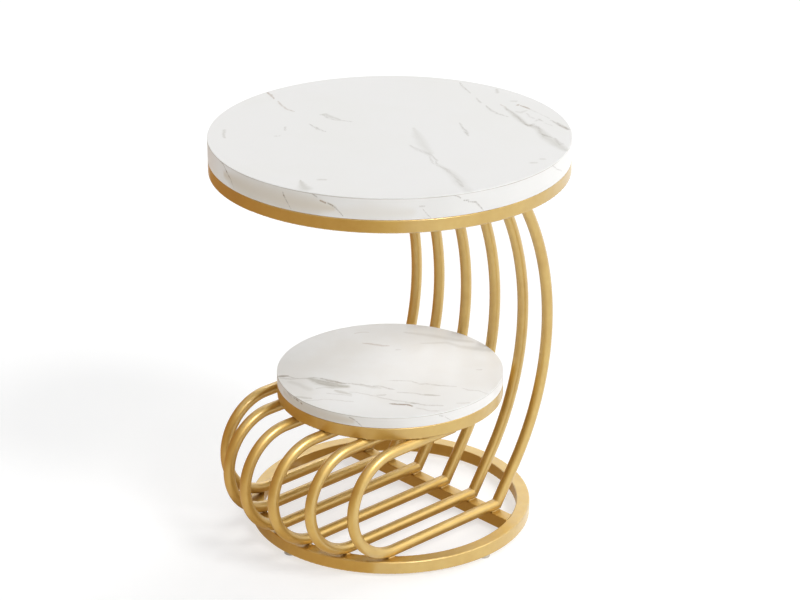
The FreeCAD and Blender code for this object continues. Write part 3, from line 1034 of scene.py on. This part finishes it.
@dataclass
class TubeRank:
    """Six bent tubes side by side: loops under the shelf, mitred to uprights."""

    base: TubeRing
    shelf: TubeRing
    top: TubeRing
    count: int = 6
    fan_step: float = 17.75
    setback: float = 18.0 * MM
    radius: float = 8.0 * MM
    elbow_y: float = 83.0 * MM
    lean: float = math.radians(33.5)
    foot_length: float = 64.0 * MM
    sweep_radius: float = 372.0 * MM
    bead: float = 0.9 * MM
    bead_reach: float = 5.4 * MM
    bead_sink: float = 0.25 * MM
    bead_lift: float = 0.8
    widest_gap: float = 1.6
    run_steps: int = 16
    seam: float = 0.35 * MM
    seam_sink: float = 0.12 * MM
    seam_steps: int = 48
    seam_spacing: float = 0.8 * MM
    top_gap: float = 0.4 * MM
    top_drop: float = 0.5 * MM
    top_reach: float = math.radians(52.0)
    top_points: int = 17
    tack: float = 1.1 * MM
    tack_reach: float = 4.5 * MM
    tack_rise: float = 2.4 * MM
    tack_gap: float = 0.3 * MM
    tack_points: int = 9

    @property
    def lower_axis(self) -> float:
        """Height of the lower runs' centre lines."""
        return self.base.upper_face + self.radius

    @property
    def bend_radius(self) -> float:
        """Radius of the loops' bends, on the centre line."""
        return (self.shelf.underside - self.radius - self.lower_axis) / 2

    @property
    def places(self) -> list[tuple[float, float]]:
        """The X of each tube from -X on, and the Y of its bend's centre."""
        reach = self.base.middle_radius
        angles = [math.radians((index - (self.count - 1) / 2) * self.fan_step)
                  for index in range(self.count)]
        return [(reach * math.sin(a), self.setback - reach * math.cos(a)) for a in angles]

    def _side_run(self, place: tuple[float, float], side: float, ends: tuple[float, float],
                  plane: float, upward: float) -> list[WeldBead]:
        """Lay a bead in the wedge between one side of a level tube and a flat face.

        Args:
            place: the tube's X, and the Y where it starts to bend away from the face.
            side: 1 or -1 for the tube's +X or -X side.
            ends: the Y that the bead runs between.
            plane: the flat face's height.
            upward: 1 where the tube lies on the face, -1 where it is under it.

        Returns:
            The bead, or nothing if the tube is clear of the face there.
        """
        path = []
        for step in range(self.run_steps + 1):
            y = ends[0] + (ends[1] - ends[0]) * step / self.run_steps
            past = max(0.0, place[1] - y)
            gap = self.bend_radius - math.sqrt(self.bend_radius**2 - past**2)
            if gap > self.widest_gap * self.bead:
                continue
            drop = self.radius + gap - self.bead
            away = math.sqrt((self.radius + self.bead) ** 2 - drop**2) - self.bead_sink
            level = plane + upward * self.bead * self.bead_lift
            path.append(Vector((place[0] + side * away, y, level)))
        return [WeldBead(path, self.bead)] if len(path) > 1 else []

    def _run_beads(self) -> tuple[list[WeldBead], list[WeldBead]]:
        """Weld the lower runs to the base and the upper runs to the shelf's ring.

        Returns:
            The beads at the base, and the beads under the shelf.
        """
        base, shelf = self.base, self.shelf
        bar_reach = base.stock / 2 - base.corner
        bar = (base.crossbar_y - bar_reach, base.crossbar_y + bar_reach)
        at_base, at_shelf = [], []
        for place in self.places:
            for side in (-1.0, 1.0):
                edge = place[0] + side * self.bead_reach
                for ends in (base.span(edge), bar):
                    at_base += self._side_run(place, side, ends, base.upper_face, 1.0)
                at_shelf += self._side_run(place, side, shelf.span(edge), shelf.underside, -1.0)
        return at_base, at_shelf

    def _mitre_seams(self) -> list[WeldBead]:
        """Ring each mitre with a ground-down seam.

        Returns:
            The seams.
        """
        normal = Vector((0.0, 1.0 + math.sin(self.lean), math.cos(self.lean))).normalized()
        rise = Vector((0.0, -normal.z, normal.y))
        reach, stretch = self.radius - self.seam_sink, 1.0 / normal.y
        turns = [2.0 * math.pi * step / self.seam_steps for step in range(self.seam_steps)]
        seams = []
        for x, _ in self.places:
            centre = Vector((x, self.elbow_y, self.lower_axis))
            path = [
                centre + Vector((math.cos(turn), 0.0, 0.0)) * reach
                + rise * math.sin(turn) * reach * stretch
                for turn in turns
            ]
            seams.append(
                WeldBead(path, self.seam, closed=True, ripple=0.0, spacing=self.seam_spacing)
            )
        return seams

    def _sweep(self, z: float) -> tuple[float, float]:
        """Follow the uprights' long sweep to a height.

        Args:
            z: the height.

        Returns:
            The Y of the centre lines there, and the sine of their lean.
        """
        sin, cos = math.sin(self.lean), math.cos(self.lean)
        centre_y = self.elbow_y + self.foot_length * sin - self.sweep_radius * cos
        above = z - (self.lower_axis + self.foot_length * cos + self.sweep_radius * sin)
        return centre_y + math.sqrt(self.sweep_radius**2 - above**2), above / self.sweep_radius

    def _upright_beads(self) -> list[WeldBead]:
        """Weld the uprights to the top's crossbar, and tack the middle two to the shelf's ring.

        Returns:
            The beads.
        """
        y_end, slope = self._sweep(self.top.underside)
        level = self.top.underside - self.top_drop
        across = self.radius + self.top_gap
        along = across / math.sqrt(1.0 - slope**2)
        beads = []
        for index, (x, _) in enumerate(self.places):
            for facing in (0.0, math.pi):
                turns = [facing + self.top_reach * share for share in evenly(self.top_points)]
                path = [
                    Vector((x + across * math.cos(turn), y_end + along * math.sin(turn), level))
                    for turn in turns
                ]
                beads.append(WeldBead(path, self.bead))
            if index in (self.count // 2 - 1, self.count // 2):
                beads.append(self._tack(x))
        return beads

    def _tack(self, x: float) -> WeldBead:
        """Tack one upright to the back of the shelf's ring.

        Args:
            x: the upright's X.

        Returns:
            The tack.
        """
        path = []
        for share in evenly(self.tack_points):
            across = x + share * self.tack_reach
            wall = math.sqrt(self.shelf.outer_radius**2 - across**2) + self.tack_gap
            path.append(Vector((across, wall, self.shelf.underside + self.tack_rise)))
        return WeldBead(path, self.tack)

    def build(self) -> None:
        """Dress the tubes and add their welds."""
        for kind in ("loop", "upright"):
            dress(GOLD, *(f"{kind}_tube_{number + 1}" for number in range(self.count)))
        dress(PLUG_PLASTIC, "loop_end_plugs")
        at_base, at_shelf = self._run_beads()
        add_welds("loop_base_welds", at_base)
        add_welds("loop_shelf_welds", at_shelf)
        add_welds("mitre_seams", self._mitre_seams())
        add_welds("upright_welds", self._upright_beads())


class Tier(Enum):
    """The table's two boards."""

    SHELF = "shelf"
    TOP = "top"


@dataclass
class Board:
    """A marble-effect board bolted to its ring."""

    tier: Tier
    ring: TubeRing
    thickness: float
    grain_angle: float
    # Print ground; the tiers' grounds differ as painted light that evens out the shade on the
    # shelf.
    ground: Colour
    sheet_veins: tuple[Veins, ...]
    band_veins: tuple[Veins, ...]
    band_wobble: float = 1.2
    sheet: float = 0.8 * MM
    lug_width: float = 20.0 * MM
    lug_thickness: float = 3.0 * MM
    lug_angles: tuple[float, ...] = (45.0, 135.0, 225.0, 315.0)
    bead: float = 0.9 * MM
    bead_inset: float = 0.5 * MM
    bead_drop: float = 0.4 * MM
    bead_points: int = 13

    def _lug_beads(self) -> list[WeldBead]:
        """Weld each lug to the ring's inner wall, from below.

        Returns:
            The beads.
        """
        reach = math.asin(self.lug_width / 2 / self.ring.inner_radius)
        radius = self.ring.inner_radius - self.bead_inset
        level = self.ring.upper_face - self.lug_thickness - self.bead_drop
        beads = []
        for middle in map(math.radians, self.lug_angles):
            turns = [middle + reach * share for share in evenly(self.bead_points)]
            path = [Vector((radius * math.cos(t), radius * math.sin(t), level)) for t in turns]
            beads.append(WeldBead(path, self.bead))
        return beads

    def build(self) -> None:
        """Dress the board, its ring and its fixings, and add the welds."""
        tier = self.tier.value
        rim = self.ring.outer_radius
        dress(
            MarbleLaminate(
                f"{tier}_marble_sheet", Layout.SHEET, self.sheet_veins, rim, self.grain_angle,
                ground=self.ground,
            ),
            f"{tier}_laminate",
        )
        dress(
            MarbleLaminate(
                f"{tier}_marble_band", Layout.BAND, self.band_veins, rim, self.grain_angle,
                foot=self.ring.upper_face, height=self.thickness - self.sheet,
                wobble=self.band_wobble,
            ),
            f"{tier}_edge_band",
        )
        dress(FIBRE, f"{tier}_core")
        dress(GOLD, f"{tier}_ring", f"{tier}_crossbar", f"{tier}_lugs")
        dress(ZINC, f"{tier}_bolts")
        dress(BRASS, f"{tier}_inserts")
        add_welds(f"{tier}_frame_welds", self.ring.crossbar_beads() + self._lug_beads())


class Side(Enum):
    """Places of the glides, by their angle round the table in degrees."""

    FRONT = 270.0
    RIGHT = 0.0
    BACK = 90.0
    LEFT = 180.0


@dataclass
class Glide:
    """A levelling foot: a plastic pad on a threaded stud."""

    side: Side
    centre_radius: float
    head_flats: float = 10.0 * MM
    head_foot: float = 1.2 * MM
    head_top: float = 3.0 * MM
    chamfer: float = 0.25 * MM
    chamfer_share: float = 0.93
    stud_top: float = 16.0 * MM
    stud_sink: float = 0.3 * MM
    major_radius: float = 2.95 * MM
    minor_radius: float = 2.5 * MM
    pitch: float = 1.0 * MM
    flank_slope: float = 1.6
    root_width: float = 0.2
    tip: float = 0.6 * MM
    rows_per_pitch: int = 8
    sides: int = 24

    def _thread_radius(self, height: float, turn: float) -> float:
        """Give the radius of the stud's flank.

        Args:
            height: the height on the stud.
            turn: the angle round it, in turns.

        Returns:
            The radius.
        """
        phase = (height / self.pitch - turn) % 1.0
        ridge = self.flank_slope * (1.0 - abs(2.0 * phase - 1.0)) - self.root_width
        depth = self.major_radius - self.minor_radius
        radius = self.minor_radius + depth * max(0.0, min(1.0, ridge))
        ease_out = max(0.0, min(2.0, (self.stud_top - height) / self.tip))
        return min(radius, self.minor_radius - self.tip / 2 + self.tip * ease_out)

    def _ring(self, shape: Shape, height: float, radii: Sequence[float]) -> Loop:
        """Add a ring of vertices round the stud's axis.

        Args:
            shape: the mesh that it is added to.
            height: the ring's height.
            radii: the radius at each of its evenly spaced corners.

        Returns:
            The ring.
        """
        centre = heading(self.side.value) * self.centre_radius
        ring = []
        for number, radius in enumerate(radii):
            angle = 2.0 * math.pi * number / len(radii)
            offset = Vector((radius * math.cos(angle), radius * math.sin(angle), height))
            ring.append(shape.verts.new(centre + offset))
        return ring

    def _stud(self) -> Shape:
        """Make the threaded shank, and the hexagon head with its eased corners.

        Returns:
            The stud's mesh.
        """
        shape = bmesh.new()
        low = self.head_top - self.stud_sink
        length = self.stud_top - low
        rows = round(length / self.pitch * self.rows_per_pitch)
        turns = [number / self.sides for number in range(self.sides)]
        shank = []
        for height in (low + length * row / rows for row in range(rows + 1)):
            radii = [self._thread_radius(height, turn) for turn in turns]
            shank.append(self._ring(shape, height, radii))
        loft(shape, shank)
        wide = self.head_flats / math.sqrt(3.0)
        narrow = self.chamfer_share * wide
        loft(shape, [self._ring(shape, height, [radius] * 6) for height, radius in (
            (self.head_foot, narrow), (self.head_foot + self.chamfer, wide),
            (self.head_top - self.chamfer, wide), (self.head_top, narrow),
        )])
        return shape

    def build(self) -> None:
        """Dress the pad and make the threaded stud."""
        side = self.side.name.lower()
        dress(GLIDE_PLASTIC, f"glide_pad_{side}")
        stud = add_piece(
            f"glide_thread_{side}", self._stud(), ZINC, f"glide_{side}"
        )
        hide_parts(f"glide_stud_{side}")


# ---- Studio ----
@dataclass(frozen=True)
class Lamp:
    """A broad soft lamp far from the table."""

    name: str
    azimuth: float
    elevation: float
    strength: float
    width: float

    def hang(self) -> None:
        """Hang the lamp."""
        data = bpy.data.lights.new(self.name, "SUN")
        data.energy = self.strength
        data.angle = math.radians(self.width)
        lamp = bpy.data.objects.new(self.name, data)
        away = heading(self.azimuth, self.elevation)
        lamp.rotation_euler = away.to_track_quat("Z", "Y").to_euler()
        bpy.context.collection.objects.link(lamp)


@dataclass(frozen=True)
class Card:
    """A curved card round part of the table, which only glossy surfaces show; it glows as a
    painted reflection, of shade where it is dark.
    """

    name: str
    start: float
    end: float
    profile: tuple[tuple[float, float], ...]
    colour: Colour
    fade: Colour
    steps: int = 24

    def stand(self) -> None:
        """Stand the card up."""
        shape = bmesh.new()
        columns = []
        for step in range(self.steps + 1):
            away = heading(self.start + (self.end - self.start) * step / self.steps)
            columns.append(
                [shape.verts.new(away * reach + UP * level) for reach, level in self.profile]
            )
        for first, second in zip(columns, columns[1:]):
            for row in range(len(self.profile) - 1):
                shape.faces.new((first[row], second[row], second[row + 1], first[row + 1]))
        card = set_down(self.name, shape, self._glow())
        card.visible_camera = card.visible_diffuse = card.visible_shadow = False

    def _glow(self) -> bpy.types.Material:
        """Build the card's glow, which fades from its start to its end.

        Returns:
            The material.
        """
        material = bpy.data.materials.new(self.name)
        wiring = Wiring(material)
        across = UP.cross(heading((self.start + self.end) / 2))
        reach = math.sin(math.radians(abs(self.end - self.start) / 2))
        turn = wiring.dot(wiring.vector("NORMALIZE", wiring.place()), tuple(across))
        shade = wiring.blend(wiring.ease(turn, -reach, reach), self.colour, self.fade)
        glow = wiring.node("Emission", {"Color": shade, "Strength": 1.0})
        wiring.node("OutputMaterial", {"Surface": glow.outputs[0]})
        return material


@dataclass
class Studio:
    """Camera, lamps, surroundings and floor."""

    camera_place: Point = (2.52517, -2.35293, 1.80568)
    camera_tilt: float = 23.129
    camera_heading: float = 46.788
    lens: float = 120.006
    sensor: float = 36.0
    clip_end: float = 100.0
    key: Lamp = Lamp("key_lamp", 12.0, 43.9, 1.53, 20.0)
    rim: Lamp = Lamp("rim_lamp", 100.0, 38.0, 1.54, 40.0)
    # Painted reflections: the dark cards give the gold painted shade in place of the shadowed
    # floor and room, and the pale card a painted bright reflection on its right.
    cards: tuple[Card, ...] = (
        Card("shade_reflection_wall", -190.0, -36.0, ((0.9, 0.001), (0.9, 1.2)),
             (0.46, 0.25, 0.09, 1.0), (0.62, 0.47, 0.28, 1.0)),
        Card("shade_reflection_floor", -190.0, -46.0, ((0.27, 0.001), (0.9, 0.001)),
             (0.5, 0.25, 0.07, 1.0), (1.0, 0.9, 0.68, 1.0)),
        Card("shade_reflection_near_floor", -160.0, -50.0, ((0.204, 0.001), (0.27, 0.001)),
             (0.16, 0.06, 0.01, 1.0), (0.72, 0.54, 0.3, 1.0)),
        Card("shade_reflection_inner_floor", -179.0, 179.0, ((0.01, 0.001), (0.182, 0.001)),
             (0.42, 0.27, 0.12, 1.0), (0.42, 0.27, 0.12, 1.0)),
        Card("highlight_reflection_wall", 0.0, 130.0, ((0.5, 0.001), (0.9, 0.001), (0.9, 1.0)),
             grey(1.07), grey(1.07)),
    )
    ambient_low: Colour = (0.75, 0.75, 0.75, 1.0)
    ambient_high: Colour = (0.75, 0.755, 0.765, 1.0)
    dim_from: float = 0.2
    zenith: float = 0.15
    floor_reach: float = 14.0
    floor_white: float = 0.98
    floor_glow: float = 0.59
    floor_shade: float = 0.49

    def _camera(self) -> None:
        """Set up the camera."""
        data = bpy.data.cameras.new("camera")
        data.sensor_width = self.sensor
        data.sensor_fit = "HORIZONTAL"
        data.lens = self.lens
        data.clip_end = self.clip_end
        camera = bpy.data.objects.new("camera", data)
        camera.location = self.camera_place
        tilt, turn = math.radians(90.0 - self.camera_tilt), math.radians(self.camera_heading)
        camera.rotation_euler = (tilt, 0.0, turn)
        bpy.context.collection.objects.link(camera)
        bpy.context.scene.camera = camera

    @staticmethod
    def _background_share(wiring: Wiring) -> Socket:
        """Give 1 to the rays that meet the plain white background, and 0 to the others.

        Args:
            wiring: the tree's wiring.

        Returns:
            The share's socket.
        """
        ray = wiring.node("LightPath").outputs
        direct = wiring.math("ADD", ray["Is Camera Ray"], ray["Is Transmission Ray"])
        return wiring.math("ADD", direct, ray["Is Glossy Ray"], clamp=True)

    def _surroundings(self) -> None:
        """Light the room softly, dimmer overhead, in front of a white background."""
        world = bpy.data.worlds.new("studio")
        wiring = Wiring(world)
        direction = wiring.node("TexCoord").outputs["Generated"]
        facing = wiring.dot(direction, tuple(heading(self.key.azimuth)))
        level = wiring.ease(facing, -1.0, 1.0)
        shade = wiring.blend(level, self.ambient_low, self.ambient_high)
        height = wiring.dot(direction, tuple(UP))
        dimming = wiring.ease(height, self.dim_from, 1.0, 1.0, self.zenith)
        soft = wiring.node("Background", {"Color": shade, "Strength": dimming})
        white = wiring.node("Background", {"Color": grey(1.0), "Strength": 1.0})
        mixed = wiring.shared(self._background_share(wiring), soft, white)
        wiring.node("OutputWorld", {"Surface": mixed.outputs[0]})
        bpy.context.scene.world = world

    def _floor(self) -> None:
        """Lay a plain white floor that is open from below."""
        material = bpy.data.materials.new("white_floor")
        wiring = Wiring(material)
        matt = wiring.node("BsdfDiffuse", {"Color": grey(self.floor_white)})
        glow = wiring.node("Emission", {"Color": grey(1.0), "Strength": self.floor_glow})
        veil = wiring.node("BsdfDiffuse", {"Color": grey(self.floor_shade)})
        white = wiring.node("AddShader", {0: glow.outputs[0], 1: veil.outputs[0]})
        lit = wiring.shared(self._background_share(wiring), matt, white)
        behind = wiring.node("NewGeometry").outputs["Backfacing"]
        surface = wiring.shared(behind, lit, wiring.node("BsdfTransparent"))
        wiring.node("OutputMaterial", {"Surface": surface.outputs[0]})
        shape = bmesh.new()
        bmesh.ops.create_grid(shape, x_segments=1, y_segments=1, size=self.floor_reach)
        floor = set_down("floor", shape, material)

    def build(self) -> None:
        """Set up the whole studio."""
        bpy.context.scene.view_settings.view_transform = "Standard"
        self._camera()
        for lamp in (self.key, self.rim):
            lamp.hang()
        for card in self.cards:
            card.stand()
        self._surroundings()
        self._floor()
        LOG.info("studio ready")


def main() -> None:
    """Build the studio and the dressed table."""
    logging.basicConfig(level=logging.INFO, format="%(message)s")
    Studio().build()
    base = TubeRing(202.0 * MM, 4.0 * MM, 77.0 * MM)
    shelf = TubeRing(161.0 * MM, 190.0 * MM, 0.0)
    top = TubeRing(250.0 * MM, 531.0 * MM, 91.2 * MM)
    BaseFrame(base).build()
    TubeRank(base, shelf, top).build()
    # The grounds are set apart as painted light: the top's darker against its full light, the
    # shelf's lighter against the shade under the top; both sheets are one laminate.
    Board(
        Tier.SHELF, shelf, 16.0 * MM, 30.0, tint(236, 237, 237), SHELF_VEINS, SHELF_BAND_VEINS
    ).build()
    Board(
        Tier.TOP, top, 30.0 * MM, -22.0, tint(230, 229, 227), TOP_VEINS, TOP_BAND_VEINS
    ).build()
    for side in Side:
        Glide(side, base.middle_radius).build()


if __name__ == "__main__":
    main()
